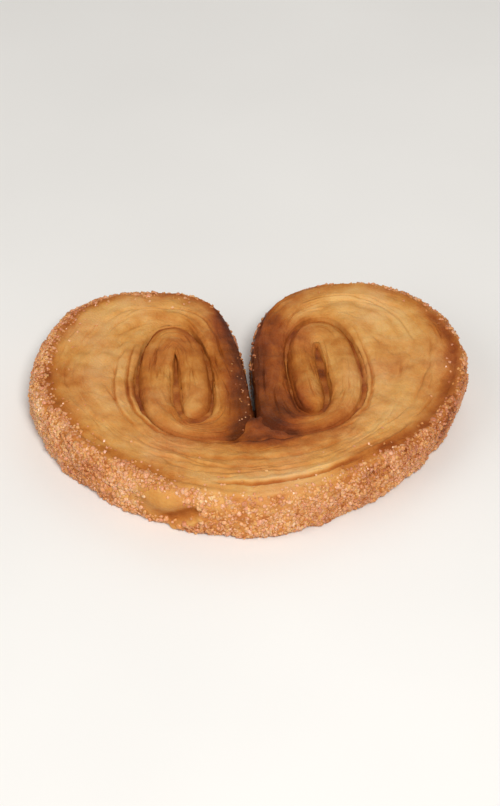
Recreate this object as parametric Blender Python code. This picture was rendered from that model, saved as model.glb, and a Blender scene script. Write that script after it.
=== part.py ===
"""A palmier: a slice of sugared puff pastry, rolled up from both ends into two scrolls, lying on a cut face.

Metres, +Z up. +X runs across both scrolls and +Y from the rounded foot to the crowns, where the cleft opens.
The origin is the centre of the slice's box, at its base. The dough is one band: it starts at the end of the
left scroll, winds out, runs round the foot and winds into the right scroll. A thinner heart inside the band
is where its turns have baked together, so that the slice is one solid with grooves between the turns.
"""

import math

import bmesh
import bpy
from mathutils import Vector

# Driving dimensions
WIDTH = 0.0800  # across both scrolls
HEIGHT = 0.0645  # from the foot to the crowns
THICKNESS = 0.0104  # of the slice at its rim
FACE_DISH = 0.0010  # how far the upper face sinks towards the middle
FOOT_DEPTH = 0.0172  # width of the band at the foot
GROOVE = 0.0005  # gap between two turns

# Both scrolls are drawn on a slice of this size, in millimetres, and scaled to the box at the end
DRAWN_HALF_WIDTH = 40.0
DRAWN_HEIGHT = 64.0

# The right scroll's line runs through these extreme points, where it is level and upright by turns.
# x and y, then the squareness of the quarter that follows: 2 is an ellipse, more is boxier.
FOOT = (0.0, 0.0, 1.78)
FLANK = (40.0, 40.0, 2.05)
CROWN = (21.0, 64.0, 3.1)
CLEFT = (0.2, 26.5, 3.2)
FIRST_BEND = (6.5, 17.8, 2.3)
INNER_FLANK = (20.4, 37.0, 2.2)
INNER_CROWN = (14.0, 52.5, 2.4)
INNER_CLEFT = (7.0, 34.5, 2.6)
SECOND_BEND = (10.6, 24.0, 2.2)
CORE_FLANK = (13.9, 34.5, 2.0)
CORE_CROWN = (13.4, 44.8, 2.0)
CORE_CLEFT = (12.9, 36.0, 2.0)
CORE_END = (12.6, 27.5, 2.0)
SCROLL = (
    FOOT, FLANK, CROWN, CLEFT, FIRST_BEND, INNER_FLANK, INNER_CROWN, INNER_CLEFT,
    SECOND_BEND, CORE_FLANK, CORE_CROWN, CORE_CLEFT, CORE_END,
)  # fmt: skip
TURN = 4  # quarters in one turn: the band lies between a quarter and the one a turn further in
SOLE_SQUARENESS = 2.6  # of the groove above the foot, which runs straight across the middle

# The band's cross-section: each side bulges out as half an oval, between two crowned faces
SIDE_SQUARENESS = 2.8
RIM_BULGE = 0.0024  # how far the rim's side stands out from the face's edge
TURN_BULGE = 0.0008  # the same for a side that faces another turn
RIM_FADES = (1.7, 2.5)  # quarters over which the rim turns into the cleft's side
SIDE_STEPS = 3  # points above and below the middle of a side
CROWNING = 0.0004  # how far a face rises between its edges
# A wide stretch of the band is two plies, with a crease between them on the upper face
CREASE_DEPTH = 0.0007
CREASE_AT = 0.64  # share of the way in from the outer edge
CREASE_REACH = 0.0011
CREASED_FROM, CREASED_FULLY = 0.010, 0.015  # widths of the band

# How finely the band is faceted
RIB_STEP = 0.0023  # between two cross-sections, along the band
FINE_STEPS = 60  # in each quarter, before the ribs are spaced out evenly
TIP_SHARES = (0.35, 0.75)  # size of the last two cross-sections at a scroll's end

# The heart that joins the turns lies this far inside the two faces, and ends where the cleft closes
CORE_BELOW_FACE = 0.0026
CORE_ABOVE_BASE = 0.0016
CORE_QUARTERS = 3

# The unevenness of a hand-rolled slice: each wave bends the plan sideways.
# Its length and size in drawn millimetres, then its heading and phase in degrees
WAVES = (
    (150, 2.3, 0, 0),
    (120, 1.2, 75, 250),
    (55, 0.45, 115, 200),
    (34, 0.22, 65, 310),
)

SAME_POINT = 1e-6


def quarter(start, end, level_first, share):
    """The point at a share of the squared-oval quarter from one extreme point to the next."""
    squareness = start[2]
    across, along = math.sin(share * math.pi / 2), math.cos(share * math.pi / 2)
    reach = (across**squareness + along**squareness) ** (-1 / squareness)
    rise, fall = across * reach, 1 - along * reach
    along_x, along_y = (rise, fall) if level_first else (fall, rise)
    return Vector((start[0] + (end[0] - start[0]) * along_x, start[1] + (end[1] - start[1]) * along_y))


def drawn_ribs(quarters):
    """Ribs of the right scroll's first quarters: outer point, inner point, and how far round it is."""
    ribs = []
    for k in range(quarters):
        level_first = k % 2 == 0
        sole_start = (0.0, FOOT_DEPTH * DRAWN_HEIGHT / HEIGHT, SOLE_SQUARENESS)
        inner_start = sole_start if k == 0 else SCROLL[k + TURN]
        for step in range(FINE_STEPS):
            share = step / FINE_STEPS
            outer = quarter(SCROLL[k], SCROLL[k + 1], level_first, share)
            inner = quarter(inner_start, SCROLL[k + TURN + 1], level_first, share)
            ribs.append((outer, inner, k + share))
    return ribs


def evenly_spaced(ribs):
    """The ribs at equal steps along the band's middle line, ends included."""
    middles = [(outer + inner) / 2 for outer, inner, _ in ribs]
    along = [0.0]
    for before, here in zip(middles, middles[1:]):
        along.append(along[-1] + (here - before).length)
    count = round(along[-1] / (RIB_STEP * DRAWN_HEIGHT / HEIGHT))
    spaced, k = [], 0
    for n in range(count + 1):
        wanted = along[-1] * n / count
        while k < len(ribs) - 2 and along[k + 1] < wanted:
            k += 1
        share = (wanted - along[k]) / (along[k + 1] - along[k])
        (outer, inner, turned), (outer_next, inner_next, turned_next) = ribs[k : k + 2]
        turned += (turned_next - turned) * share
        spaced.append((outer.lerp(outer_next, share), inner.lerp(inner_next, share), turned))
    return spaced


def mirrored(ribs):
    """The same ribs on the left scroll, from its end back to the foot."""
    return [
        (Vector((-outer.x, outer.y)), Vector((-inner.x, inner.y)), turned)
        for outer, inner, turned in reversed(ribs)
    ]


def uneven(point):
    """Bends the drawn plan a little, so that the two scrolls aren't alike."""
    moved = point.copy()
    for length, size, heading, phase in WAVES:
        travel = Vector((math.cos(math.radians(heading)), math.sin(math.radians(heading))))
        turn = 2 * math.pi * point.dot(travel) / length + math.radians(phase)
        moved += Vector((-travel.y, travel.x)) * size * math.sin(turn)
    return moved


def fitted_to_box(edge_points):
    """A function that takes a drawn point to its place, so that the slice's edge fills its box."""
    bent = [uneven(point) for point in edge_points]
    low = Vector((min(p.x for p in bent), min(p.y for p in bent)))
    high = Vector((max(p.x for p in bent), max(p.y for p in bent)))
    middle, size = (low + high) / 2, high - low

    def place(point):
        from_middle = uneven(point) - middle
        return Vector((from_middle.x * WIDTH / size.x, from_middle.y * HEIGHT / size.y))

    return place


def eased(low, high, value):
    """Climbs smoothly from 0 at low to 1 at high."""
    share = min(max((value - low) / (high - low), 0.0), 1.0)
    return share * share * (3 - 2 * share)


def face_height(point):
    """Height of a face's edge over a point in plan: full at the rim, sunk towards the middle."""
    from_middle = Vector((point.x / (WIDTH / 2), point.y / (HEIGHT / 2)))
    return THICKNESS - CROWNING - FACE_DISH * max(1 - from_middle.length_squared, 0)


def side(bulge):
    """Inset from the band's edge and share of the full height, from the base up one side."""
    points = []
    for n in range(-SIDE_STEPS, SIDE_STEPS + 1):
        angle = n / SIDE_STEPS * math.pi / 2
        out = abs(math.cos(angle)) ** (2 / SIDE_SQUARENESS)
        up = math.copysign(abs(math.sin(angle)) ** (2 / SIDE_SQUARENESS), angle)
        points.append((bulge * (1 - out), (1 + up) / 2))
    return points


def cross_section(outer, inner, turned, share):
    """One closed ring round the band, which rests level on its base."""
    inward = (inner - outer).normalized()
    rim = 1 - eased(*RIM_FADES, turned)
    start = outer + inward * (1 - rim) * GROOVE / 2
    width = (inner - start).length - GROOVE / 2
    outer_side = side(min(TURN_BULGE + (RIM_BULGE - TURN_BULGE) * rim, width / 3))
    inner_side = side(min(TURN_BULGE, width / 3))
    outer_face, inner_face = outer_side[-1][0], width - inner_side[-1][0]
    face_middle = (outer_face + inner_face) / 2

    profile = [(inset, height, 0.0) for inset, height in outer_side]
    crease = CREASE_DEPTH * eased(CREASED_FROM, CREASED_FULLY, width)
    crease_at = outer_face + (inner_face - outer_face) * CREASE_AT
    crease_reach = min(CREASE_REACH, (inner_face - crease_at) / 2)
    profile.append(((outer_face + crease_at) / 2, 1.0, CROWNING))
    profile.append((crease_at - crease_reach, 1.0, CROWNING / 2))
    profile.append((crease_at, 1.0, CROWNING / 2 - crease))
    profile.append((crease_at + crease_reach, 1.0, CROWNING / 2))
    profile += [(width - inset, height, 0.0) for inset, height in reversed(inner_side)]
    profile.append((face_middle, 0.0, 0.0))

    ring = []
    for across, height, rise in profile:
        across = width / 2 + (across - width / 2) * share
        plan = start + inward * across
        full = face_height(plan)
        tall = full * height + rise
        ring.append(Vector((plan.x, plan.y, full / 2 + (tall - full / 2) * share)))
    return ring


def loft(name, rings):
    """A closed mesh through rings of equal counts, with a cap on each end."""
    mesh = bpy.data.meshes.new(name)
    bm = bmesh.new()
    rows = [[bm.verts.new(point) for point in ring] for ring in rings]
    for row, after in zip(rows, rows[1:]):
        for n in range(len(row)):
            m = (n + 1) % len(row)
            bm.faces.new((row[n], row[m], after[m], after[n]))
    bm.faces.new(rows[0])
    bm.faces.new(rows[-1])
    bmesh.ops.recalc_face_normals(bm, faces=bm.faces)
    bm.to_mesh(mesh)
    bm.free()
    return bpy.data.objects.new(name, mesh)


def make_band(name, ribs, place):
    """The rolled dough, with rounded tips where it ends inside each scroll."""
    shares = [1.0] * len(ribs)
    for n, share in enumerate(TIP_SHARES):
        shares[n] = shares[-1 - n] = share
    rings = [
        cross_section(place(outer), place(inner), turned, share)
        for (outer, inner, turned), share in zip(ribs, shares)
    ]
    return loft(name, rings)


def make_core(name, place):
    """The heart between the turns, bounded by the outer turn's middle line and closed under the cleft."""
    right = evenly_spaced(drawn_ribs(CORE_QUARTERS))
    outline = [place((outer + inner) / 2) for outer, inner, _ in mirrored(right[1:]) + right]
    curve = bpy.data.curves.new(name, "CURVE")
    curve.dimensions = "2D"
    curve.fill_mode = "BOTH"
    curve.extrude = (THICKNESS - CROWNING - FACE_DISH - CORE_BELOW_FACE - CORE_ABOVE_BASE) / 2
    spline = curve.splines.new("POLY")
    spline.points.add(len(outline) - 1)
    for point, plan in zip(spline.points, outline):
        point.co = (plan.x, plan.y, 0.0, 1.0)
    spline.use_cyclic_u = True
    drawn = bpy.data.objects.new(name + "_outline", curve)
    drawn.location.z = CORE_ABOVE_BASE + curve.extrude
    bpy.context.scene.collection.objects.link(drawn)
    return as_closed_mesh(name, drawn)


def as_closed_mesh(name, drawn):
    """A curve's solid as a mesh object with its caps welded on; the curve goes."""
    bpy.context.view_layer.update()
    graph = bpy.context.evaluated_depsgraph_get()
    mesh = bpy.data.meshes.new_from_object(drawn.evaluated_get(graph))
    mesh.transform(drawn.matrix_world)
    bpy.data.objects.remove(drawn)
    bm = bmesh.new()
    bm.from_mesh(mesh)
    bmesh.ops.remove_doubles(bm, verts=bm.verts, dist=SAME_POINT)
    bmesh.ops.recalc_face_normals(bm, faces=bm.faces)
    bm.to_mesh(mesh)
    bm.free()
    return bpy.data.objects.new(name, mesh)


def pastry_material():
    """Golden baked dough under a dull sugar crust."""
    material = bpy.data.materials.new("baked_puff_pastry")
    material.use_nodes = True
    shader = material.node_tree.nodes["Principled BSDF"]
    shader.inputs["Base Color"].default_value = (0.60, 0.30, 0.11, 1.0)
    shader.inputs["Roughness"].default_value = 0.6
    shader.inputs["Metallic"].default_value = 0.0
    return material


def linked_collection(name):
    made = bpy.data.collections.new(name)
    bpy.context.scene.collection.children.link(made)
    return made


def main():
    for obj in list(bpy.data.objects):
        bpy.data.objects.remove(obj, do_unlink=True)

    right = evenly_spaced(drawn_ribs(len(SCROLL) - TURN - 1))
    ribs = mirrored(right[1:]) + right
    place = fitted_to_box([outer for outer, _, _ in ribs])

    palmier = make_band("palmier", ribs, place)
    linked_collection("palmier").objects.link(palmier)
    core = make_core("core", place)
    linked_collection("helpers").objects.link(core)
    core.hide_render = True
    core.display_type = "WIRE"

    join = palmier.modifiers.new("bake_together", "BOOLEAN")
    join.operation = "UNION"
    join.object = core
    palmier.data.materials.append(pastry_material())
    palmier.data.shade_smooth()


main()
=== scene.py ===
"""A palmier on a pale table: a baked slice of rolled puff pastry, with a crust of sugar round its rim.

Metres, +Z up, in the CAD model's frame: +X across both scrolls, +Y from the foot to the crowns. The band of
dough is rolled again on the solid's own line, finely enough to show its leaves, its cracks and its crust. How
brown it is, where syrup has run and where sugar sticks are worked out point by point, and kept on its mesh.
"""

import itertools
import math

import bpy
import numpy as np
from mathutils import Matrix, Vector


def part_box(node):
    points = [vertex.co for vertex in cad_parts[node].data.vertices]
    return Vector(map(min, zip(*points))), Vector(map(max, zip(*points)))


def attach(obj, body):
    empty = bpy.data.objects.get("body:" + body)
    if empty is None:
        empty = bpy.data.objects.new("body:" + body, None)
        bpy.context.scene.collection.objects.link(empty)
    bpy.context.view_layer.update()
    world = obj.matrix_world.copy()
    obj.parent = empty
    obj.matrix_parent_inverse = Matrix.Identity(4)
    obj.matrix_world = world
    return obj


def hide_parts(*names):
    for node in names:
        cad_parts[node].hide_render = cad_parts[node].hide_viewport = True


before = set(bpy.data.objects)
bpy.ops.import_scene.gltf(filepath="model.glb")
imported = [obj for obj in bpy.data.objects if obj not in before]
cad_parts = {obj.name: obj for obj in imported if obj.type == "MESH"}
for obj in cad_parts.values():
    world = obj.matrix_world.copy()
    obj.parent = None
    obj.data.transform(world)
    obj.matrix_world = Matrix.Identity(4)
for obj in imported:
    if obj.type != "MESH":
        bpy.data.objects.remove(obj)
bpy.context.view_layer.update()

LOW, HIGH = (Vector(corner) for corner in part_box("palmier"))
MM = 0.001

# ---------------------------------------------------------------- the slice, in millimetres

CRUST_ROOM = 0.30  # left for the sugar outside the dough
RISEN_ROOM = 0.25  # left for leaves that stand up from the face
WIDTH = (HIGH.x - LOW.x) / MM - 2 * CRUST_ROOM
HEIGHT = (HIGH.y - LOW.y) / MM - 2 * CRUST_ROOM
FULL_THICKNESS = (HIGH.z - LOW.z) / MM
THICKNESS = FULL_THICKNESS - RISEN_ROOM
MIDDLE = ((LOW + HIGH) / 2 / MM).to_2d()
FACE_DISH = 1.0
FOOT_DEPTH = 17.2
GROOVE = 0.20
CROWNING = 0.25

# The right scroll's line, on a slice 2 x 40 wide and 64 high: extreme points, level and upright by turns.
# x and y, then the squareness of the quarter that follows: 2 is an ellipse, more is boxier.
DRAWN_HEIGHT = 64.0
FOOT = (0.0, 0.0, 1.78)
FLANK = (40.0, 40.0, 2.05)
CROWN = (21.0, 64.0, 3.1)
CLEFT = (0.2, 26.5, 3.2)
FIRST_BEND = (6.5, 17.8, 2.3)
INNER_FLANK = (20.4, 37.0, 2.2)
INNER_CROWN = (14.0, 52.5, 2.4)
INNER_CLEFT = (7.0, 34.5, 2.6)
SECOND_BEND = (10.6, 24.0, 2.2)
CORE_FLANK = (13.6, 34.5, 2.0)
CORE_CROWN = (13.3, 44.8, 2.0)
CORE_CLEFT = (13.1, 36.0, 2.0)
CORE_END = (12.9, 27.5, 2.0)
SCROLL = (
    FOOT, FLANK, CROWN, CLEFT, FIRST_BEND, INNER_FLANK, INNER_CROWN, INNER_CLEFT,
    SECOND_BEND, CORE_FLANK, CORE_CROWN, CORE_CLEFT, CORE_END,
)  # fmt: skip
TURN = 4
SOLE_SQUARENESS = 2.6
# Hand-rolled unevenness: wave length and size in millimetres, then its heading and phase in degrees
WAVES = ((150, 2.3, 0, 0), (120, 1.2, 75, 250), (55, 0.45, 115, 200), (34, 0.22, 65, 310))

RIB_STEP = 0.42  # between two ribs along the band
FINE_STEPS = 500  # in each quarter, before the ribs are spaced out evenly
OUTER_QUARTERS = 3.0  # the outer turn ends here, down in the cleft, and the inner scrolls begin
TIP_LENGTH = 3.6  # over which the band's end inside a scroll is rounded off
TIP_FALL = 1.3  # over which the end's top comes down

SIDE_SQUARENESS = 2.8
RIM_BULGE = 1.8
TURN_BULGE = 0.60
RIM_FADES = (1.7, 2.5)  # quarters turned over which the rim's bulge dies away
CRUST_FADES = (2.25, 2.9)  # and the crust of sugar, down in the cleft
RIM_POINTS, FACE_POINTS, TURN_POINTS, BASE_POINTS = 34, 128, 16, 12


def eased(low, high, value):
    """Climbs smoothly from 0 at low to 1 at high."""
    share = np.clip((value - low) / (high - low), 0, 1)
    return share * share * (3 - 2 * share)


def hump(value, middle, reach):
    """1 at the middle, falling smoothly to nothing about two reaches away."""
    return np.exp(-(((value - middle) / reach) ** 2))


# ---------------------------------------------------------------- unevenness of dough

LATTICE_STEPS = np.array((73856093, 19349663, 83492791), dtype=np.int64)


def lumps(points, size, seed):
    """Smooth random lumps from -1 to 1, about one for each size of space. points is (n, 2) or (n, 3)."""
    places = np.asarray(points, dtype=float) / size
    corner = np.floor(places)
    part = places - corner
    part = part**3 * (part * (part * 6 - 15) + 10)
    corner = corner.astype(np.int64)
    total = np.zeros(len(places))
    for step in itertools.product((0, 1), repeat=places.shape[1]):
        key = ((corner + step) * LATTICE_STEPS[: places.shape[1]]).sum(axis=1) + seed * 2654435761
        for shift, factor in ((15, 2246822519), (13, 3266489917)):
            key = ((key ^ (key >> shift)) * factor) & 0xFFFFFFFF
        key ^= key >> 16
        total += (key / 0x7FFFFFFF - 1) * np.where(step, part, 1 - part).prod(axis=1)
    return total


def rough(points, size, seed, octaves=3):
    """Lumps on lumps: each octave has half the size and half the strength."""
    return sum(lumps(points, size / 2**n, seed + 17 * n) / 2**n for n in range(octaves))


# ---------------------------------------------------------------- the band's line


def quarter(start, end, level_first, share):
    """Points along the squared-oval quarter from one extreme point to the next."""
    squareness = start[2]
    across, along = np.sin(share * np.pi / 2), np.cos(share * np.pi / 2)
    reach = (across**squareness + along**squareness) ** (-1 / squareness)
    rise, fall = across * reach, 1 - along * reach
    along_x, along_y = (rise, fall) if level_first else (fall, rise)
    return np.stack((start[0] + (end[0] - start[0]) * along_x, start[1] + (end[1] - start[1]) * along_y), axis=1)


def right_scroll():
    """Outer points, inner points and quarters turned, from the foot's middle to the right scroll's end."""
    share = np.arange(FINE_STEPS) / FINE_STEPS
    outer, inner, turned = [], [], []
    for k in range(len(SCROLL) - TURN - 1):
        sole_start = (0.0, FOOT_DEPTH * DRAWN_HEIGHT / HEIGHT, SOLE_SQUARENESS)
        inner_start = sole_start if k == 0 else SCROLL[k + TURN]
        outer.append(quarter(SCROLL[k], SCROLL[k + 1], k % 2 == 0, share))
        inner.append(quarter(inner_start, SCROLL[k + TURN + 1], k % 2 == 0, share))
        turned.append(k + share)
    return np.concatenate(outer), np.concatenate(inner), np.concatenate(turned)


def uneven(points):
    """Bends the drawn plan a little, so that the two scrolls aren't alike."""
    moved = points.copy()
    for length, size, heading, phase in WAVES:
        travel = np.array((math.cos(math.radians(heading)), math.sin(math.radians(heading))))
        turn = 2 * np.pi * (points @ travel) / length + math.radians(phase)
        moved += np.array((-travel[1], travel[0])) * size * np.sin(turn)[:, None]
    return moved


class Band:
    """The whole band in plan: one rib for each step along it, from the left scroll's end to the right's."""

    def __init__(self):
        outer, inner, turned = right_scroll()
        middle = (outer + inner) / 2
        along = np.concatenate(([0], np.cumsum(np.linalg.norm(np.diff(middle, axis=0), axis=1))))
        wanted = np.linspace(0, along[-1], round(along[-1] / RIB_STEP) + 1)
        outer = np.stack([np.interp(wanted, along, outer[:, n]) for n in (0, 1)], axis=1)
        inner = np.stack([np.interp(wanted, along, inner[:, n]) for n in (0, 1)], axis=1)
        turned = np.interp(wanted, along, turned)
        flip = np.array((-1, 1))
        self.along = np.concatenate((-wanted[:0:-1], wanted))
        self.turned = np.concatenate((turned[:0:-1], turned))
        drawn_outer = np.concatenate((outer[:0:-1] * flip, outer))
        drawn_inner = np.concatenate((inner[:0:-1] * flip, inner))
        bent = uneven(drawn_outer)
        self.low, self.high = bent.min(axis=0), bent.max(axis=0)
        self.outer, self.inner = self.place(drawn_outer), self.place(drawn_inner)
        self.rim = 1 - eased(*RIM_FADES, self.turned)
        self.crust = 1 - eased(*CRUST_FADES, self.turned)

    def place(self, drawn):
        """Where drawn points come to lie on the slice."""
        size = np.array((WIDTH, HEIGHT)) / (self.high - self.low)
        return (uneven(np.asarray(drawn, dtype=float)) - (self.low + self.high) / 2) * size + np.array(MIDDLE)


def face_height(plan):
    """Height of a face's edge over points in plan: full at the rim, sunk towards the middle."""
    from_middle = (plan - np.array(MIDDLE)) / np.array((WIDTH / 2, HEIGHT / 2))
    return THICKNESS - CROWNING - FACE_DISH * np.clip(1 - (from_middle**2).sum(axis=-1), 0, None)


def side(count):
    """How far out and how far up the points of one side are, from -1 at the base to 1 at the face."""
    angle = np.linspace(-np.pi / 2, np.pi / 2, count)
    out, up = np.cos(angle), np.sin(angle)
    reach = (np.abs(out) ** SIDE_SQUARENESS + np.abs(up) ** SIDE_SQUARENESS) ** (-1 / SIDE_SQUARENESS)
    return out * reach, up * reach


class Dough:
    """The band's surface as a grid: a ring of points round each rib, with all that is known about each."""

    def __init__(self, band):
        inward = band.inner - band.outer
        inward /= np.linalg.norm(inward, axis=1)[:, None]
        start = band.outer + inward * ((1 - band.rim) * GROOVE / 2)[:, None]
        width = np.linalg.norm(band.inner - start, axis=1) - GROOVE / 2
        outer_bulge = np.minimum(TURN_BULGE + (RIM_BULGE - TURN_BULGE) * band.rim, width / 3)
        inner_bulge = np.minimum(TURN_BULGE, width / 3)

        out, up = side(RIM_POINTS)
        outer_side = outer_bulge[:, None] * (1 - out)
        outer_up = np.broadcast_to((1 + up) / 2, outer_side.shape)
        share = (np.arange(FACE_POINTS) + 1) / (FACE_POINTS + 1)
        face = outer_bulge[:, None] + (width - outer_bulge - inner_bulge)[:, None] * share
        out, up = side(TURN_POINTS)
        inner_side = width[:, None] - inner_bulge[:, None] * (1 - out[::-1])
        inner_up = np.broadcast_to((1 + up[::-1]) / 2, inner_side.shape)
        share = (np.arange(BASE_POINTS) + 1) / (BASE_POINTS + 1)
        base = (width - inner_bulge)[:, None] - (width - outer_bulge - inner_bulge)[:, None] * share

        across = np.concatenate((outer_side, face, inner_side, base), axis=1)
        height = np.concatenate((outer_up, np.ones_like(face), inner_up, np.zeros_like(base)), axis=1)
        on_face = np.clip((across - outer_bulge[:, None]) / (width - outer_bulge - inner_bulge)[:, None], 0, 1)
        rise = np.where(height > 0.999, CROWNING * 4 * on_face * (1 - on_face), 0)

        to_end = band.along.max() - np.abs(band.along)
        tip, fall = (
            np.sqrt(np.clip(1 - (1 - np.clip(to_end / length, 0, 1)) ** 2, 0.01, 1))[:, None]
            for length in (TIP_LENGTH, TIP_FALL)
        )
        across = width[:, None] / 2 + (across - width[:, None] / 2) * tip
        plan = start[:, None, :] + inward[:, None, :] * across[..., None]
        full = face_height(plan)
        level = full / 2 + (full * height + rise - full / 2) * fall
        self.points = np.concatenate((plan, level[..., None]), axis=2)
        self.shape = across.shape
        self.along = np.broadcast_to(band.along[:, None], self.shape)
        self.turned = np.broadcast_to(band.turned[:, None], self.shape)
        self.across = across
        self.from_inner = width[:, None] - across
        self.width = np.broadcast_to(width[:, None], self.shape)
        self.height = height
        self.full = full
        columns = np.arange(self.shape[1])
        upper = (columns >= RIM_POINTS // 2) & (columns < RIM_POINTS + FACE_POINTS + TURN_POINTS // 2)
        self.upper = np.broadcast_to(upper, self.shape)
        self.outer_side = np.broadcast_to(columns < RIM_POINTS, self.shape)
        self.rim = np.broadcast_to(band.rim[:, None], self.shape)
        self.crust = np.broadcast_to(band.crust[:, None], self.shape)
        self.swayed = across + 1.3 * self.lumps(16, 59) + 0.55 * self.lumps(7, 60) + 0.25 * self.lumps(2.6, 61)

    def normals(self):
        """Unit normals of the grid, pointing out of the dough."""
        p = self.points
        along = np.gradient(p, axis=0)
        round_ring = np.roll(p, -1, axis=1) - np.roll(p, 1, axis=1)
        normal = np.cross(round_ring, along)
        return normal / np.maximum(np.linalg.norm(normal, axis=2), 1e-9)[..., None]

    def lumps(self, size, seed, octaves=1):
        """Lumps in space over the grid."""
        return rough(self.points.reshape(-1, 3), size, seed, octaves).reshape(self.shape)

    def streaks(self, length, breadth, seed, octaves=1):
        """Lumps drawn out along the band, swaying a little from side to side."""
        places = np.stack((self.along.ravel() / length, self.swayed.ravel() / breadth), axis=1)
        return rough(places, 1.0, seed, octaves).reshape(self.shape)

    def of_leaf(self, leaf, length, seed, octaves=1):
        """A number from -1 to 1 that changes along each leaf, and differs from leaf to leaf."""
        places = np.stack((self.along.ravel() / length + 0.377 * leaf.ravel(), leaf.ravel()), axis=1)
        return rough(places, 1.0, seed, octaves).reshape(self.shape)


# ---------------------------------------------------------------- leaves, cracks and crust

LEAF_BREADTHS = (1.3, 3.2)  # of the leaves that the cut face shows, on a narrow and on a broad band
LEAF_STEP = 0.10  # height that neighbouring leaves differ by
LEAF_EDGE = 0.45  # breadth of the fall from one leaf to the next
CREST_RISE, CREST_REACH = 0.055, 0.26  # of the crisp edges that stand up between leaves
GAP_DEPTH, GAP_REACH = 0.08, 0.22  # of the gaps beside them
PLY = 2  # leaves that rise together
PLY_VALLEY, PLY_REACH = 0.15, 1.10

PARTINGS = 70  # short openings between leaves, each a lens with a lip
PARTING_LENGTHS = (2.0, 7.0)
PARTING_BREADTHS = (0.10, 0.27)
PARTING_DEPTH = 1.2  # for each millimetre of breadth

# Cracks on the upper face: from and to along the band, share of the way in from the outer edge, drift of
# that share over the crack, depth and width
CRACKS = (
    (-7, 16, 0.235, -0.02, 0.85, 0.36),
    (15, 29, 0.25, 0.03, -0.30, 0.32),
    (-22, 10, 0.49, 0.04, 0.15, 0.30),
    (-30, 26, 0.66, -0.04, 0.18, 0.36),
    (-60, -20, 0.90, 0.02, 0.50, 0.26),
    (-54, -26, 0.80, -0.05, 0.34, 0.24),
    (22, 62, 0.92, -0.02, 0.40, 0.26),
    (52, 80, 0.42, 0.08, 0.30, 0.28),
    (-90, -66, 0.55, 0.04, 0.34, 0.28),
)  # fmt: skip

BLISTERS = 34  # small bubbles on the upper face
BLISTER_SIZES = (0.7, 2.0)
BLISTER_RISE = 0.13

POOL_AT = (2.6, 22.4)  # middle of the dark caramel below the cleft, on the drawn slice
POOL_REACH = 4.3

# The big blister on the rim, left of the foot, as shares of the slice's width and thickness from its middle
# line: the bubble itself, the hollow that runs up to the right under it, and the lip below the hollow
BUBBLE_AT = (-0.188, 0.72)
HOLLOW = ((-0.176, 0.20), (-0.124, 0.44))
LIP = ((-0.164, 0.08), (-0.108, 0.40))


def rim_point(dough, share_x, share_z):
    """A place on the foot's rim, by its share of the width and of the thickness."""
    near = np.abs(dough.along[:, 0]) < 60
    column = RIM_POINTS // 2
    ribs = np.flatnonzero(near)
    row = ribs[np.argmin(np.abs(dough.points[ribs, column, 0] - MIDDLE[0] - share_x * WIDTH))]
    x, y, _ = dough.points[row, column]
    return np.array((x, y, share_z * THICKNESS))


def away(dough, place, stretch=(1, 1, 1)):
    """Distance of every point from a place, with each axis stretched."""
    return np.linalg.norm((dough.points - place) / np.array(stretch), axis=2)


def ridge(dough, ends, reach):
    """1 along a line on the rim between two places, falling to nothing on both sides."""
    steps = (rim_point(dough, *place) for place in np.linspace(*ends, 6))
    return np.max([np.exp(-away(dough, place, reach) ** 2) for place in steps], axis=0)


def leafy(dough):
    """Relief of the leaves on the cut face, and how much darker each point is: its leaf's own tone and broad arcs,
    with painted shade in the valleys and gaps and a painted highlight on the crests.
    """
    breadth = np.clip(dough.width / 5.5, *LEAF_BREADTHS)
    drift = 0.95 * dough.streaks(30, 7, 1) + 0.55 * dough.streaks(9, 3, 2) + 0.30 * dough.streaks(3.6, 2, 18)
    drift += 0.9 * dough.streaks(200, 2.8, 42)
    place = dough.swayed / breadth + drift
    edge = np.round(place)
    past = eased(-LEAF_EDGE / 2, LEAF_EDGE / 2, (place - edge) * breadth)
    before, after = (dough.of_leaf(leaf, 9, 3, 2) for leaf in (edge - 1, edge))
    steps = before * (1 - past) + after * past
    off = (place - edge) * breadth
    crest = np.exp(-((off / CREST_REACH) ** 2)) * np.clip(1.7 * dough.of_leaf(edge, 6, 38, 2) - 0.1, 0, 1)
    gap = np.exp(-(((off - 0.30) / GAP_REACH) ** 2)) * np.clip(1.8 * dough.of_leaf(edge, 8, 39, 2) - 0.55, 0, 1)
    ply_edge = np.round(place / PLY)
    valley = np.exp(-(((place / PLY - ply_edge) * PLY * breadth / PLY_REACH) ** 2))
    valley *= 0.45 + 0.55 * dough.of_leaf(ply_edge, 22, 6)
    relief = LEAF_STEP * steps + CREST_RISE * crest - GAP_DEPTH * gap - PLY_VALLEY * valley
    relief = np.sqrt(breadth) * relief + 0.05 * dough.streaks(2.4, 1.3, 40)
    arcs = dough.streaks(22, 4.4, 4) + 0.45 * dough.streaks(9, 2.2, 5)
    # The valleys and gaps are darkened as painted shade and the crests paled as a painted highlight; the arcs and
    # steps are the dough's own tone.
    return relief, 0.085 * arcs + 0.01 * steps + 0.03 * valley + 0.04 * gap - 0.03 * crest


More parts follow.
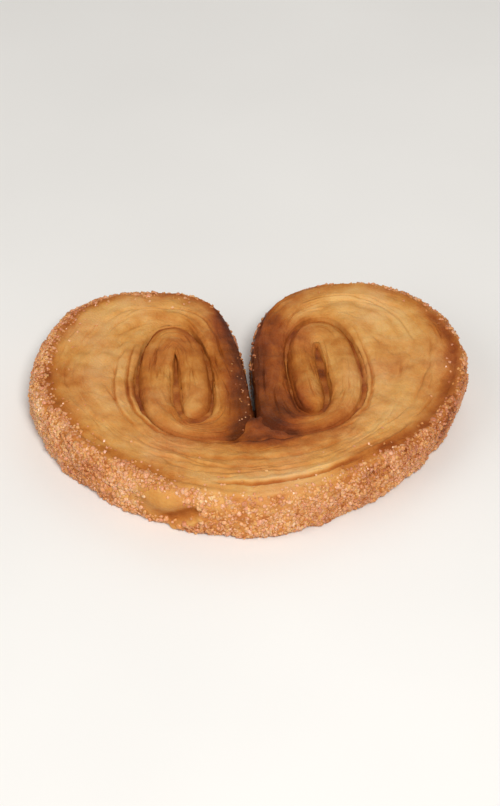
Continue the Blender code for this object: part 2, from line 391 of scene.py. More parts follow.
def parted(dough, upper_face):
    """Relief of the short openings between leaves, and how far inside one each point lies."""
    draw = np.random.default_rng(23)
    rows, columns = np.nonzero(upper_face > 0.99)
    relief, opened = np.zeros(dough.shape), np.zeros(dough.shape)
    sway = 0.35 * dough.streaks(7, 30, 19)
    for _ in range(PARTINGS):
        pick = draw.integers(len(rows))
        row, column = rows[pick], columns[pick]
        length, breadth = draw.uniform(*PARTING_LENGTHS), draw.uniform(*PARTING_BREADTHS)
        near = slice(max(0, row - 40), row + 41)
        along = (dough.along[near] - dough.along[row, column]) / length
        across = (dough.across + sway)[near] - (dough.across + sway)[row, column]
        across += 0.10 * length * draw.uniform(-1, 1) * along
        here = np.exp(-(along**2) * 4)
        lens = np.exp(-((across / breadth) ** 2)) * here
        lip = np.exp(-(((across - 2.1 * breadth) / (1.5 * breadth)) ** 2)) * here
        relief[near] += PARTING_DEPTH * breadth * (0.38 * lip - lens)
        opened[near] = np.maximum(opened[near], lens)
    return relief, opened


def cracked_open(dough):
    """Relief of the larger cracks, each wandering a little and fading at both ends, and their painted shading:
    painted shade down in each crack, painted light on the shelf beside it.
    """
    relief, painted_crack_shading, painted_shelf_light = (np.zeros(dough.shape) for _ in range(3))
    sway = 0.30 * dough.streaks(9, 40, 7) + 0.12 * dough.streaks(3, 40, 8)
    for start, end, share, drift, depth, breadth in CRACKS:
        way = np.clip((dough.along - start) / (end - start), 0, 1)
        open_here = np.sin(np.pi * way) ** 0.6
        centre = (share + drift * way) * dough.width
        crack = hump(dough.across + sway, centre, breadth) * open_here
        shelf = hump(dough.across + sway, centre + 2.4 * breadth, 2.0 * breadth) * open_here
        shade = hump(dough.across + sway, centre + 0.6 * breadth, breadth) * open_here
        relief += depth * (0.35 * shelf - crack)
        painted_crack_shading = np.maximum(painted_crack_shading, shade * depth)
        painted_shelf_light = np.maximum(painted_shelf_light, shelf * depth)
    # Darker down in each crack: painted shade; paler on the shelf beside it: painted light.
    return relief, 0.48 * painted_crack_shading - 0.22 * painted_shelf_light


def blistered(dough, upper_face):
    """Relief of the small bubbles on the cut face."""
    draw = np.random.default_rng(11)
    rows, columns = np.nonzero(upper_face > 0.99)
    relief = np.zeros(dough.shape)
    for _ in range(BLISTERS):
        pick = draw.integers(len(rows))
        row, column = rows[pick], columns[pick]
        size = draw.uniform(*BLISTER_SIZES)
        along = (dough.along - dough.along[row, column]) / (1.6 * size)
        across = (dough.across - dough.across[row, column]) / size
        relief += BLISTER_RISE * size * np.exp(-(along**2 + across**2))
    return relief


def rolled_and_baked(band):
    """The dough's grid with its relief, and how brown, how syrupy and how sugared each point is."""
    dough = Dough(band)
    face = np.where(dough.upper, eased(0.90, 1.0, dough.height), 0)
    base = np.where(dough.upper, 0, eased(0.12, 0.0, dough.height))
    wall = np.clip(1 - face - base, 0, 1)
    crusted = dough.crust * dough.outer_side
    inside = eased(0, 0.8, dough.across - RIM_BULGE * dough.rim) * eased(0, 0.5, dough.from_inner)

    leaf_relief, leaf_tone_and_painted_shading = leafy(dough)
    crack_relief, painted_crack_shading = cracked_open(dough)
    part_relief, opened = parted(dough, face)
    swell = 0.17 * dough.streaks(20, 3.0, 43) + 0.22 * dough.streaks(17, 6, 9) + 0.34 * dough.streaks(23, 400, 15) + 0.12 * dough.lumps(7, 16)
    relief = leaf_relief + crack_relief + part_relief + blistered(dough, face) + swell
    rolled_off = hump(dough.from_inner, 0, 0.95) + hump(dough.across, 0, 0.95) * (1 - dough.rim)
    apart = 0.72 + 0.55 * dough.lumps(10, 45)
    relief = relief * inside - 0.50 * rolled_off * apart + 0.13 * dough.lumps(1.9, 6, 2) + 0.04 * dough.lumps(0.5, 20)

    # Walls down in the grooves wobble; where they meet, the dough has run together
    wobble = 0.15 * dough.lumps(4.2, 9, 2) + 0.06 * dough.lumps(1.3, 10)
    crust = 0.30 * dough.lumps(5.5, 11, 2) + 0.30 * dough.lumps(1.7, 12, 2) + 0.10 * dough.lumps(0.6, 13)

    bubble_at = rim_point(dough, *BUBBLE_AT)
    bubble = np.exp(-away(dough, bubble_at, (4.3, 4, 2.9)) ** 3)
    hollow = ridge(dough, HOLLOW, (1.4, 3, 1.9))
    lip = ridge(dough, LIP, (1.1, 3, 0.75))
    bare_at = (bubble_at + rim_point(dough, *HOLLOW[0])) / 2
    bare = 1.5 * np.maximum(np.exp(-away(dough, bare_at, (5.7, 8, 4.5)) ** 4), np.maximum(hollow, lip))
    bare = np.clip(bare - 0.15 + 0.30 * dough.lumps(1.1, 17), 0, 1)
    crust = crust * (1 - 0.9 * bare) + 1.5 * bubble - 1.35 * hollow + 1.1 * lip

    # The crust's lower edge is tucked under on the right
    crust = crust - 1.5 * hump(dough.along, 35, 17) * eased(0.9, 0.1, dough.height)

    push = relief * face + crust * crusted * np.clip(1 - face, 0, 1)
    push += wobble * wall * (1 - crusted) + 0.05 * dough.lumps(1.6, 14, 2) * base
    tip = eased(0, TIP_LENGTH, band.along.max() - np.abs(dough.along))
    normals = dough.normals()
    outward = (normals * (dough.points - dough.points.mean(axis=1, keepdims=True))).sum(axis=2).mean()
    normals *= math.copysign(1, outward)
    dough.points = dough.points + normals * (push * tip)[..., None]
    dough.points[..., 2] = np.clip(dough.points[..., 2], 0, FULL_THICKNESS)
    dough.lit = dough.normals() * math.copysign(1, outward)

    # Browning, from 0 for pale dough to 1 for burnt sugar, with painted shade and painted light added in places
    cleft_line = band.place([(0.3, y) for y in np.linspace(21.5, 60, 30)])
    to_cleft = np.min([np.linalg.norm(dough.points[..., :2] - p, axis=2) for p in cleft_line], axis=0)
    syrup_edge = 8.6 + 1.6 * dough.lumps(8, 21) + 0.5 * dough.streaks(10, 1.5, 22)
    syrup = eased(syrup_edge, syrup_edge - 6.0, to_cleft) * np.where(dough.turned > 2, 1, 0.6)
    syrup *= 0.45 + 0.55 * eased(0, 0.9, dough.height)
    to_rim = dough.across - RIM_BULGE * dough.rim
    patchy = 0.75 + 0.45 * dough.lumps(13, 35)
    toasted_line = hump(to_rim, 0.7 + 0.6 * dough.lumps(4, 23), 1.5) * patchy * dough.rim
    # Darker beside the grooves between turns: partly syrup run into them, partly painted shade.
    groove_syrup_and_shade = (hump(dough.from_inner, 0.1, 1.2) + hump(dough.across, 0.1, 1.2) * (1 - dough.rim)) * apart
    outer_half = eased(0.75, 0.0, dough.across / dough.width) * (1 - dough.rim)
    flank = eased(0.45, 0.95, np.abs(dough.points[..., 0] - MIDDLE[0]) / (WIDTH / 2)) * eased(9, 0, to_rim) * face
    shoulder = hump(dough.along, 4, 12) * hump(to_rim, 0.6, 2.8) * eased(0.36, 0.76, dough.height)
    # Browner towards the middle of the face, round the cleft: partly real browning, partly painted shade.
    middle = eased(9, 26, to_cleft + to_rim * 0.6)
    right_toast = hump(dough.along, 20, 7) * hump(to_rim, 0.9, 2.0)
    # Painted shade: the face darker in the broad valley beside the first groove on the left.
    left_valley_shade = hump(dough.from_inner, 0.7, 1.7) * hump(dough.along, -46, 17) * dough.rim
    pool = hump(np.linalg.norm(dough.points[..., :2] - band.place([POOL_AT])[0], axis=2), 0, POOL_REACH)
    brown = 0.35 + 0.05 * dough.streaks(24, 6, 24, 2) + 0.07 * dough.lumps(8, 25, 2) + leaf_tone_and_painted_shading * face
    brown += 0.05 * dough.lumps(2.4, 62, 2) * face + 0.20 * right_toast * face
    # Painted shade: darker down in the short partings between leaves.
    brown += 0.22 * toasted_line + 0.20 * groove_syrup_and_shade + painted_crack_shading * face + 0.07 * opened + 0.35 * syrup
    brown += 0.05 * outer_half + 0.20 * flank - 0.34 * shoulder * face + 0.18 * (1 - middle) + 0.13 * pool
    brown += 0.13 * left_valley_shade * face
    # Uncrusted walls down in the grooves darker the lower they lie: partly syrup, partly painted shade.
    brown = np.where(wall > 0.5, np.maximum(brown, 0.62 - 0.35 * dough.height * (1 - crusted)), brown)
    brown = brown * (1 - base) + base * (0.50 + 0.12 * dough.lumps(9, 27, 2))
    patches = 0.52 + 0.34 * dough.lumps(9, 29, 2) + 0.16 * dough.lumps(2.4, 30) + 0.12 * toasted_line
    # The crust paler at the front middle: partly its own paler tone, partly painted light; browner towards the right:
    # partly real browning, partly painted shade.
    patches = patches + 0.30 * syrup - 0.34 * shoulder - 0.12 * hump(dough.along, 2, 9) + 0.27 * eased(14, 34, dough.along)
    brown = brown * (1 - crusted * wall) + crusted * wall * patches
    # On the bare blister the hollow under the bubble is darkened as painted shade and the lip below it paled as
    # painted light.
    brown = brown * (1 - bare) + bare * (0.45 + 0.07 * dough.lumps(2, 36) + 0.24 * hollow - 0.26 * lip)
    sugared = crusted * eased(0.995, 0.93, dough.height)
    edge_of_crust = 0.3 + 0.9 * dough.lumps(9, 37) + 1.5 * eased(-14, -38, dough.along)
    spread = to_rim + 0.7 * dough.lumps(2.2, 28)
    sugared = np.maximum(sugared, dough.rim * face * eased(edge_of_crust, edge_of_crust - 1.6, spread))
    sugared *= (1 - bare) * (1 - 0.88 * shoulder)
    past_crust = np.clip(to_rim - 0.5 * edge_of_crust, 0, None)
    strewn = dough.rim * face * np.exp(-past_crust / 1.4) * (0.07 + 0.20 * eased(-12, -34, dough.along))
    dough.brown = np.clip(brown, 0, 1)
    dough.syrup = np.clip(np.maximum(0.85 * syrup, wall * (1 - crusted) * eased(0.95, 0.6, dough.height)), 0, 1)
    dough.sugared = np.clip(sugared, 0, 1)
    dough.strewn = strewn
    dough.base = base
    dough.to_cleft = to_cleft
    dough.normal = normals
    return dough


def pastry_piece(name, dough, first, last, material):
    """The band from one rib to another as a closed mesh, with what is known of each point kept on it."""
    rows, columns = last - first + 1, dough.shape[1]
    index = np.arange(rows * columns).reshape(rows, columns)
    after = np.roll(index, -1, axis=1)
    faces = np.stack((index[:-1], index[1:], after[1:], after[:-1]), axis=-1).reshape(-1, 4)
    mesh = bpy.data.meshes.new(name)
    ends = [tuple(index[0]), tuple(index[-1][::-1])]
    points = dough.points[first : last + 1].reshape(-1, 3) * MM
    mesh.from_pydata(points.tolist(), [], faces.tolist() + ends)
    mesh.update()

    bake = np.ones((rows * columns, 4), dtype=np.float32)
    for n, known in enumerate((dough.brown, dough.syrup, dough.sugared, dough.base)):
        bake[:, n] = known[first : last + 1].ravel()
    mesh.color_attributes.new("bake", "FLOAT_COLOR", "POINT").data.foreach_set("color", bake.ravel())

    # The UV map holds millimetres along the band and round its section, as hundredths
    ring = np.linalg.norm(np.diff(dough.points, axis=1, append=dough.points[:, :1]), axis=2).cumsum(axis=1)
    ring = np.concatenate((np.zeros((dough.shape[0], 1)), ring), axis=1)[first : last + 1]
    along = dough.along[first : last + 1, 0]
    corners = np.array([mesh.loops[n].vertex_index for n in range(len(faces) * 4)]).reshape(-1, 4)
    row, column = corners // columns, corners % columns
    wrapped = (column == 0) & (column.max(axis=1) == columns - 1)[:, None]
    uv = np.stack((along[row], ring[row, np.where(wrapped, columns, column)]), axis=-1) / 100
    spare = np.zeros((len(mesh.loops) - uv.size // 2, 2))
    layer = mesh.uv_layers.new(name="dough")
    layer.uv.foreach_set("vector", np.concatenate((uv.reshape(-1, 2), spare)).ravel().astype(np.float32))

    mesh.shade_smooth()
    for end in mesh.polygons[-len(ends) :]:
        end.use_smooth = False
    mesh.materials.append(material)
    piece = bpy.data.objects.new(name, mesh)
    bpy.context.scene.collection.objects.link(piece)
    with_normals_out(piece)

    # Where a piece goes on into the next one, both are lit as one surface; a zero leaves a normal as it is
    lit = np.zeros((rows, columns, 3))
    for row, rib in ((0, first), (-1, last)):
        if 0 < rib < dough.shape[0] - 1:
            lit[row] = dough.lit[rib]
    mesh.normals_split_custom_set_from_vertices(lit.reshape(-1, 3).tolist())
    return piece


def alone(piece):
    """Selects one object and nothing else."""
    for other in bpy.context.selected_objects:
        other.select_set(False)
    piece.select_set(True)
    bpy.context.view_layer.objects.active = piece


def with_normals_out(piece):
    alone(piece)
    bpy.ops.object.mode_set(mode="EDIT")
    bpy.ops.mesh.select_all(action="SELECT")
    bpy.ops.mesh.normals_make_consistent(inside=False)
    bpy.ops.object.mode_set(mode="OBJECT")
    return piece


# ---------------------------------------------------------------- the caramel heart

HEART_CELL = 0.5
HEART_DROP = 1.0  # from the face down to the heart's top
HEART_BASE = 1.7
RUN_TOGETHER = 0.75  # how far the heart stands up where the two scrolls have run together below the cleft


SLIT_DEPTH = 3.0  # of the dark slit where the cleft runs out into the caramel
SLIT_STEPS = 16


def slit(band, places):
    """1 over the middle of the slit below the cleft, which opens from a point, and 0 beside it."""
    middle = band.place([(0.3, y) for y in np.linspace(24.0, 32.0, SLIT_STEPS)])
    reaches = np.linspace(0.6, 3.0, SLIT_STEPS)
    return np.max([eased(r, 0.2 * r, np.linalg.norm(places - p, axis=1)) for p, r in zip(middle, reaches)], axis=0)


def against_walls(band, places):
    """1 against the walls round the caramel below the cleft, falling to 0 in a millimetre or two."""
    walls = np.concatenate((band.outer, band.inner))
    walls = walls[np.linalg.norm(walls - band.place([POOL_AT])[0], axis=1) < 9]
    return hump(np.min([np.linalg.norm(places - p, axis=1) for p in walls], axis=0), 0, 0.85)


def caramel_heart(band, material):
    """Dark syrup and fused dough between the turns, seen down in the grooves."""
    rim = band.turned <= OUTER_QUARTERS
    outline = (band.outer[rim] + band.inner[rim]) / 2
    cells = (round(WIDTH / HEART_CELL), round(HEIGHT / HEART_CELL))
    bpy.ops.mesh.primitive_grid_add(x_subdivisions=cells[0], y_subdivisions=cells[1], size=1)
    piece = bpy.context.object
    piece.name = piece.data.name = "caramel_heart"
    places = np.array([v.co[:2] for v in piece.data.vertices]) * (WIDTH, HEIGHT) + np.array(MIDDLE)
    inside = np.zeros(len(places), dtype=bool)
    for (x0, y0), (x1, y1) in zip(outline, np.roll(outline, -1, axis=0)):
        crosses = (y0 > places[:, 1]) != (y1 > places[:, 1])
        with np.errstate(divide="ignore", invalid="ignore"):
            inside ^= crosses & (places[:, 0] < (x1 - x0) * (places[:, 1] - y0) / (y1 - y0) + x0)
    seam = band.place([(1.4, y) for y in np.linspace(18.5, 21.5, 4)])
    to_seam = np.min([np.linalg.norm(places - p, axis=1) for p in seam], axis=0)
    together = eased(5.5, 1.0, to_seam)
    level = face_height(places) - HEART_DROP + (RUN_TOGETHER + 0.30 * against_walls(band, places)) * together
    level = level + 0.40 * rough(places, 7.0, 31) + (0.10 + 0.08 * together) * rough(places, 1.5, 44)
    level = level - SLIT_DEPTH * slit(band, places)
    for vertex, place, top, keep in zip(piece.data.vertices, places, level, inside):
        vertex.co = (place[0] * MM, place[1] * MM, top * MM)
        vertex.select = bool(not keep)
    for edge in piece.data.edges:
        edge.select = False
    for face in piece.data.polygons:
        face.select = False
    alone(piece)
    bpy.ops.object.mode_set(mode="EDIT")
    bpy.ops.mesh.select_mode(type="VERT")
    bpy.ops.mesh.delete(type="VERT")
    bpy.ops.mesh.select_all(action="SELECT")
    bpy.ops.mesh.extrude_region_move(TRANSFORM_OT_translate={"value": (0, 0, -6 * MM)})
    bpy.ops.object.mode_set(mode="OBJECT")
    for vertex in piece.data.vertices:
        if vertex.select:
            vertex.co.z = HEART_BASE * MM
    spots = np.array([v.co[:2] for v in piece.data.vertices]) / MM
    to_pool = np.linalg.norm(spots - band.place([POOL_AT])[0], axis=1)
    brown = 0.72 + 0.20 * hump(to_pool, 0, POOL_REACH) + 0.14 * rough(spots, 2.4, 41)
    brown = brown + 0.12 * against_walls(band, spots)
    # Painted shade: the caramel darker down the slit below the cleft.
    brown = np.clip(brown + 0.20 * slit(band, spots), 0, 1)
    bake = np.stack((brown, np.full_like(brown, 0.85), np.zeros_like(brown), np.zeros_like(brown)), axis=1)
    piece.data.color_attributes.new("bake", "FLOAT_COLOR", "POINT").data.foreach_set("color", bake.ravel())
    piece.data.uv_layers[0].name = "dough"
    piece.data.shade_smooth()
    piece.data.materials.append(material)
    return with_normals_out(piece)


# ---------------------------------------------------------------- sugar


CLUMP = 1.7  # grains this near to each other have melted to one tone


def sugar_grain(melted):
    """One grain of sugar as corners and faces: a cube, with its edges rounded off as far as it has melted."""
    bpy.ops.mesh.primitive_cube_add(size=1)
    grain = bpy.context.object
    alone(grain)
    bpy.ops.object.mode_set(mode="EDIT")
    bpy.ops.mesh.select_all(action="SELECT")
    if melted:
        bpy.ops.mesh.bevel(offset=melted, segments=1)
    bpy.ops.object.mode_set(mode="OBJECT")
    corners = np.array([v.co[:] for v in grain.data.vertices])
    faces = [tuple(face.vertices) for face in grain.data.polygons]
    mesh = grain.data
    bpy.data.objects.remove(grain)
    bpy.data.meshes.remove(mesh)
    return corners, faces


def turned_any_way(count, draw):
    """Random rotation matrices."""
    quaternion = draw.normal(size=(4, count))
    w, x, y, z = quaternion / np.linalg.norm(quaternion, axis=0)
    return np.stack((
        1 - 2 * (y * y + z * z), 2 * (x * y - z * w), 2 * (x * z + y * w),
        2 * (x * y + z * w), 1 - 2 * (x * x + z * z), 2 * (y * z - x * w),
        2 * (x * z - y * w), 2 * (y * z + x * w), 1 - 2 * (x * x + y * y),
    ), axis=1).reshape(-1, 3, 3)  # fmt: skip


def scattered(dough, weight, count, draw):
    """Random places on the dough, denser where the weight is greater, with their outward normals."""
    p = dough.points
    area = np.linalg.norm(np.cross(p[1:] - p[:-1], (np.roll(p, -1, axis=1) - p)[:-1]), axis=2)
    chance = (area * weight[:-1]).ravel()
    picked = draw.choice(len(chance), size=count, p=chance / chance.sum())
    row, column = picked // dough.shape[1], picked % dough.shape[1]
    beside = (column + 1) % dough.shape[1]
    s, t = draw.random((2, count, 1))
    place = p[row, column] * (1 - s) + p[row + 1, column] * s
    place = place * (1 - t) + (p[row, beside] * (1 - s) + p[row + 1, beside] * s) * t
    return place, dough.normal[row, column], dough.brown[row, column]


def sugar(name, dough, weight, count, sizes, sunk, melted, paler, material, seed, smooth=False):
    """Grains of sugar stuck to the dough, joined into one mesh, each with its own tint."""
    draw = np.random.default_rng(seed)
    corners, faces = sugar_grain(melted)
    place, normal, brown = scattered(dough, weight, count, draw)
    brown = brown + 0.26 * lumps(place, CLUMP, 51) + 0.10 * lumps(place, 4 * CLUMP, 52)
    size = sizes[0] + (sizes[1] - sizes[0]) * draw.beta(2.0, 3.0, size=(count, 1))
    place = place + normal * size * draw.uniform(*sunk, size=(count, 1))
    keep = (place[:, 2] > 0.62 * size[:, 0]) & (place[:, 2] < FULL_THICKNESS + 0.15 - 0.6 * size[:, 0])
    place, size, brown = place[keep], size[keep], brown[keep]
    count = len(place)
    shape = size[:, None] * draw.uniform(0.72, 1.25, size=(count, 1, 3))
    turn = turned_any_way(count, draw)
    chipped = corners[None] * shape * draw.uniform(0.7, 1.1, size=(count, len(corners), 1))
    points = np.einsum("nij,nkj->nki", turn, chipped) + place[:, None]
    mesh = bpy.data.meshes.new(name)
    each = len(corners)
    many = [[n * each + corner for corner in face] for n in range(count) for face in faces]
    mesh.from_pydata((points.reshape(-1, 3) * MM).tolist(), [], many)
    mesh.update()
    tint = np.clip(0.22 + 0.57 * brown + draw.normal(0, 0.09, size=count) - paler, 0, 1)
    pinkness = draw.random(count) ** 1.5
    colour = np.repeat(np.stack((tint, pinkness, tint, np.ones(count)), axis=1), each, axis=0)
    mesh.color_attributes.new("tint", "FLOAT_COLOR", "POINT").data.foreach_set("color", colour.ravel())
    if smooth:
        mesh.shade_smooth()
    mesh.materials.append(material)
    piece = bpy.data.objects.new(name, mesh)
    bpy.context.scene.collection.objects.link(piece)
    return piece


# ---------------------------------------------------------------- finishes


class Finish:
    """A material's node tree, built a node at a time."""

    def __init__(self, name):
        self.material = bpy.data.materials.new(name)
        self.material.use_nodes = True
        self.tree = self.material.node_tree
        self.shader = self.tree.nodes["Principled BSDF"]

    def node(self, kind, inputs=(), **settings):
        made = self.tree.nodes.new("ShaderNode" + kind)
        for key, value in settings.items():
            setattr(made, key, value)
        for key, value in dict(inputs).items():
            self.feed(made.inputs[key], value)
        return made

    def feed(self, socket, value):
        if isinstance(value, bpy.types.NodeSocket):
            self.tree.links.new(value, socket)
        elif isinstance(value, bpy.types.Node):
            self.tree.links.new(value.outputs[0], socket)
        else:
            socket.default_value = value

    def set(self, **inputs):
        for key, value in inputs.items():
            self.feed(self.shader.inputs[key.replace("_", " ")], value)

    def math(self, operation, *values, clamp=False):
        made = self.node("Math", operation=operation, use_clamp=clamp)
        for socket, value in zip(made.inputs, values):
            self.feed(socket, value)
        return made

    def mix(self, share, first, second, blend="MIX"):
        made = self.node("Mix", data_type="RGBA", blend_type=blend)
        self.feed(made.inputs["Factor"], share)
        self.feed(made.inputs["A"], first)
        self.feed(made.inputs["B"], second)
        return made.outputs["Result"]

    def ramp(self, share, stops):
        made = self.node("ValToRGB", {"Fac": share})
        elements = made.color_ramp.elements
        while len(elements) < len(stops):
            elements.new(0.5)
        for element, (place, colour) in zip(elements, stops):
            element.position = place
            element.color = (*colour, 1)
        return made.outputs["Color"]

    def noise(self, vector, scale, detail=2.0, roughness=0.5):
        inputs = {"Vector": vector, "Scale": scale, "Detail": detail, "Roughness": roughness}
        return self.node("TexNoise", inputs).outputs["Fac"]


def rgb(red, green, blue):
    """A colour as seen on a screen, 0 to 255, in linear light."""
    return tuple((c / 255 / 12.92) if c < 10.3 else ((c / 255 + 0.055) / 1.055) ** 2.4 for c in (red, green, blue))


BAKED_SHADES = (
    (0.00, rgb(220, 176, 112)),
    (0.22, rgb(216, 169, 104)),
    (0.40, rgb(202, 144, 76)),
    (0.58, rgb(178, 110, 46)),
    (0.75, rgb(148, 78, 26)),
    (0.90, rgb(114, 55, 18)),
    (1.00, rgb(88, 40, 13)),
)  # fmt: skip
ROSY_SHADES = (
    (0.00, rgb(222, 176, 124)),
    (0.22, rgb(214, 163, 106)),
    (0.40, rgb(200, 138, 80)),
    (0.58, rgb(174, 102, 50)),
    (0.75, rgb(144, 72, 34)),
    (0.90, rgb(110, 50, 24)),
    (1.00, rgb(84, 36, 18)),
)  # fmt: skip
CRUST_SHADES = (
    (0.00, rgb(216, 160, 94)),
    (0.35, rgb(198, 130, 68)),
    (0.60, rgb(182, 112, 58)),
    (0.80, rgb(166, 94, 47)),
    (1.00, rgb(136, 72, 34)),
)  # fmt: skip
GOLDEN_SUGAR = (
    (0.00, rgb(236, 196, 140)),
    (0.30, rgb(220, 164, 100)),
    (0.55, rgb(204, 138, 74)),
    (0.80, rgb(178, 106, 50)),
    (1.00, rgb(142, 74, 32)),
)  # fmt: skip
PINKISH_SUGAR = (
    (0.00, rgb(242, 204, 178)),
    (0.30, rgb(228, 170, 138)),
    (0.55, rgb(210, 142, 108)),
    (0.80, rgb(180, 108, 74)),
    (1.00, rgb(142, 76, 48)),
)  # fmt: skip


def baked_dough():
    """Leaves of dough: pale gold to toasted, dull, darker and glossy where syrup has run, rough under sugar."""
    finish = Finish("baked_dough")
    known = finish.node("Attribute", attribute_name="bake", attribute_type="GEOMETRY")
    parts = finish.node("SeparateColor", {"Color": known.outputs["Color"]})
    brown, syrup, sugared = (parts.outputs[n] for n in ("Red", "Green", "Blue"))
    place = finish.node("TexCoord").outputs["Object"]
    strip = finish.node("UVMap", uv_map="dough").outputs["UV"]
    fine_strip = finish.node("Mapping", {"Vector": strip, "Scale": (60, 200, 1)})
    broad_strip = finish.node("Mapping", {"Vector": strip, "Scale": (20, 66, 1)})
    leaves = finish.noise(fine_strip, 1.0, 4.0, 0.6)
    plies = finish.noise(broad_strip, 1.0, 3.0, 0.55)
    crumb = finish.noise(place, 2600.0, 3.0, 0.6)
    mottling = finish.noise(place, 420.0, 3.0, 0.55)
    freckles = finish.noise(place, 1100.0, 2.0, 0.5)

    tone = finish.math("MULTIPLY_ADD", leaves, 0.10, -0.05)
    tone = finish.math("ADD", tone, finish.math("MULTIPLY_ADD", plies, 0.12, -0.06))
    streaks = finish.math("MULTIPLY", known.outputs["Alpha"], finish.math("MULTIPLY_ADD", plies, 0.4, -0.2))
    tone = finish.math("ADD", tone, streaks)
    tone = finish.math("ADD", tone, finish.math("MULTIPLY_ADD", mottling, 0.26, -0.13))
    tone = finish.math("ADD", tone, finish.math("MULTIPLY_ADD", crumb, 0.10, -0.05))
    tone = finish.math("ADD", tone, brown, clamp=True)
    rosy = finish.math("MULTIPLY_ADD", finish.noise(place, 95.0, 2.0, 0.5), 3.0, -1.2, clamp=True)
    dough = finish.mix(rosy, finish.ramp(tone, BAKED_SHADES), finish.ramp(tone, ROSY_SHADES))
    clumps = finish.node("TexVoronoi", {"Vector": place, "Scale": 820.0})
    clump_tone = finish.node("SeparateColor", {"Color": clumps.outputs["Color"]}).outputs["Red"]
    crust_tone = finish.math("MULTIPLY_ADD", freckles, 0.6, -0.3)
    crust_tone = finish.math("ADD", crust_tone, finish.math("MULTIPLY_ADD", clump_tone, 0.5, -0.25))
    crust = finish.ramp(finish.math("ADD", crust_tone, brown, clamp=True), CRUST_SHADES)
    finish.set(Base_Color=finish.mix(sugared, dough, crust))

    roughness = finish.math("MULTIPLY_ADD", syrup, -0.24, 0.56)
    roughness = finish.math("MULTIPLY_ADD", sugared, -0.08, roughness)
    roughness = finish.math("ADD", roughness, finish.math("MULTIPLY_ADD", mottling, 0.24, -0.12))
    finish.set(Roughness=roughness)
    finish.set(Subsurface_Weight=0.15, Subsurface_Radius=(1.0, 0.5, 0.2), Subsurface_Scale=0.0012)
    finish.set(Specular_IOR_Level=0.12, Specular_Tint=(1.0, 0.78, 0.50, 1.0))

    height = finish.math("MULTIPLY_ADD", leaves, 0.20, finish.math("MULTIPLY", crumb, 0.8))
    height = finish.math("ADD", height, finish.math("MULTIPLY", mottling, 0.5))
    knobs = finish.math("MULTIPLY_ADD", clumps.outputs["Distance"], -2.0, freckles)
    height = finish.math("ADD", height, finish.math("MULTIPLY", knobs, sugared))
    height = finish.math("SUBTRACT", height, finish.math("MULTIPLY", streaks, 7.0))
    bump = finish.node("Bump", {"Height": height, "Strength": 0.7, "Distance": 0.00024})
    finish.set(Normal=bump)
    return finish.material


def baked_sugar():
    """Grains from clear and pale to amber, as the oven left them."""
    finish = Finish("baked_sugar")
    known = finish.node("Attribute", attribute_name="tint", attribute_type="GEOMETRY")
    parts = finish.node("SeparateColor", {"Color": known.outputs["Color"]})
    tint, pinkness = (parts.outputs[n] for n in ("Red", "Green"))
    place = finish.node("TexCoord").outputs["Object"]
    cloudy = finish.noise(place, 1800.0, 2.0, 0.5)
    shade = finish.math("ADD", tint, finish.math("MULTIPLY_ADD", cloudy, 0.24, -0.12), clamp=True)
    golden, pinkish = (finish.ramp(shade, shades) for shades in (GOLDEN_SUGAR, PINKISH_SUGAR))
    finish.set(Base_Color=finish.mix(pinkness, golden, pinkish))
    finish.set(Roughness=finish.math("MULTIPLY_ADD", cloudy, 0.30, 0.18))
    finish.set(Specular_IOR_Level=0.4)
    finish.set(Subsurface_Weight=0.30, Subsurface_Radius=(1.0, 0.6, 0.35), Subsurface_Scale=0.0006)
    return finish.material


def pale_table():
    finish = Finish("pale_table")
    place = finish.node("TexCoord").outputs["Object"]
    cloudy = finish.noise(place, 9.0, 3.0, 0.5)
    fine = finish.noise(place, 700.0, 2.0, 0.5)
    finish.set(Base_Color=finish.ramp(cloudy, ((0.3, (0.80, 0.79, 0.77)), (0.7, (0.86, 0.85, 0.83)))))
    finish.set(Roughness=finish.math("MULTIPLY_ADD", fine, 0.15, 0.55))
    return finish.material


# ---------------------------------------------------------------- table, lights and camera

EYE_ABOVE = 38.0  # degrees over the table
LENS = 100.0
SENSOR = 36.0
FRAME_SHAPE = (500, 806)
MARGIN = 1.13  # width of the view over the slice's width


def table_top():
    bpy.ops.mesh.primitive_plane_add(size=3.0)
    floor = bpy.context.object
    floor.name = floor.data.name = "table_top"
    floor.data.materials.append(pale_table())


def softbox(name, place, size, power, colour):
    light = bpy.data.lights.new(name, "AREA")
    light.shape = "DISK"
    light.size = size
    light.energy = power
    light.color = colour
    lamp = bpy.data.objects.new(name, light)
    lamp.location = place
    lamp.rotation_euler = Vector(place).to_track_quat("Z", "Y").to_euler()
    bpy.context.scene.collection.objects.link(lamp)


def studio():
    world = bpy.data.worlds.new("studio")
    world.use_nodes = True
    background = world.node_tree.nodes["Background"]
    background.inputs["Color"].default_value = (1.0, 0.99, 0.97, 1)
    background.inputs["Strength"].default_value = 0.30
    bpy.context.scene.world = world
    softbox("key", (0.10, -0.50, 0.54), 0.22, 4.5, (1.0, 0.98, 0.95))
    softbox("fill", (-0.50, -0.30, 0.42), 0.60, 1.2, (1.0, 0.98, 0.96))
    softbox("back", (0.10, 0.55, 0.50), 0.50, 0.6, (1.0, 0.97, 0.93))
    bpy.context.scene.view_settings.view_transform = "Standard"


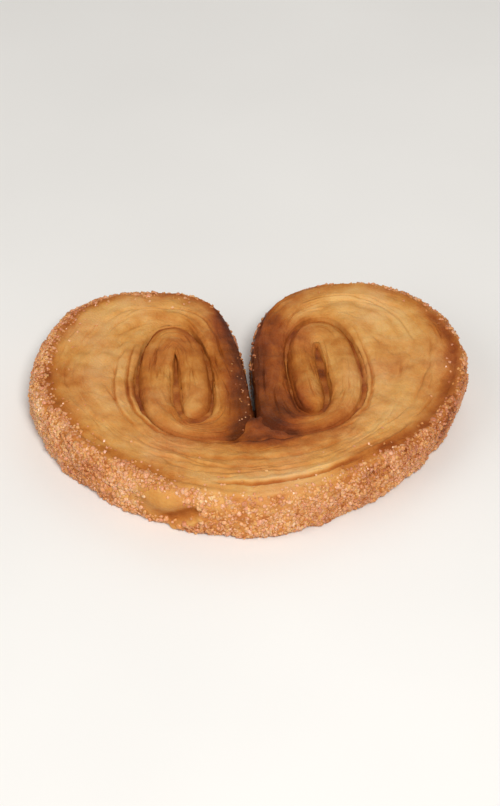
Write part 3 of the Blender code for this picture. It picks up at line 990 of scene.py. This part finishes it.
def camera():
    seen = bpy.data.cameras.new("camera")
    seen.lens = LENS
    seen.sensor_width = SENSOR
    eye = bpy.data.objects.new("camera", seen)
    view_width = (HIGH.x - LOW.x) * MARGIN
    distance = view_width * LENS / (SENSOR * FRAME_SHAPE[0] / FRAME_SHAPE[1])
    target = Vector(((LOW.x + HIGH.x) / 2, (LOW.y + HIGH.y) / 2, (HIGH.z - LOW.z) / 2))
    tilt = math.radians(EYE_ABOVE)
    eye.location = target + distance * Vector((0, -math.cos(tilt), math.sin(tilt)))
    eye.rotation_euler = (math.pi / 2 - tilt, 0, 0)
    bpy.context.scene.collection.objects.link(eye)
    bpy.context.scene.camera = eye


# ---------------------------------------------------------------- the palmier


def main():
    camera()
    studio()
    table_top()

    band = Band()
    dough = rolled_and_baked(band)
    crust = baked_dough()
    rim_ribs = np.flatnonzero(band.turned <= OUTER_QUARTERS)
    first, last, end = rim_ribs[0], rim_ribs[-1], len(band.turned) - 1
    bodies = [
        pastry_piece("outer_turn", dough, first, last, crust),
        pastry_piece("left_scroll", dough, 0, first, crust),
        pastry_piece("right_scroll", dough, last, end, crust),
        caramel_heart(band, crust),
    ]
    for piece in bodies:
        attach(piece, "root")
        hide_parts("palmier")

    shade = baked_sugar()
    sugared = dough.sugared * (0.45 + 0.55 * eased(-0.5, 0.4, dough.lumps(7, 33, 2)))
    on_left = dough.points[..., 0] < MIDDLE[0] + 1.0
    glints = hump(dough.to_cleft, 1.9, 1.1) * on_left * (dough.points[..., 1] < MIDDLE[1] + 10) * (dough.turned > 2.6)
    glints *= dough.upper * (dough.height > 0.9)
    shoulder = hump(dough.along, 3, 14) * hump(dough.across, 1.6, 1.6) * dough.rim * dough.upper
    grains = [
        sugar("clumped_sugar", dough, sugared, 2300, (0.75, 1.45), (-0.42, -0.24), 0.28, 0, shade, 4, smooth=True),
        sugar("coarse_sugar", dough, sugared, 3600, (0.45, 0.90), (-0.32, 0.02), 0.26, 0, shade, 5, smooth=True),
        sugar("fine_sugar", dough, sugared + dough.strewn, 7600, (0.28, 0.50), (-0.30, 0.10), 0, 0, shade, 6),
        sugar("loose_sugar", dough, glints + 0.4 * shoulder, 70, (0.18, 0.38), (-0.3, 0.1), 0.18, 0.05, shade, 7),
    ]
    for piece in grains:
        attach(piece, "root")


main()
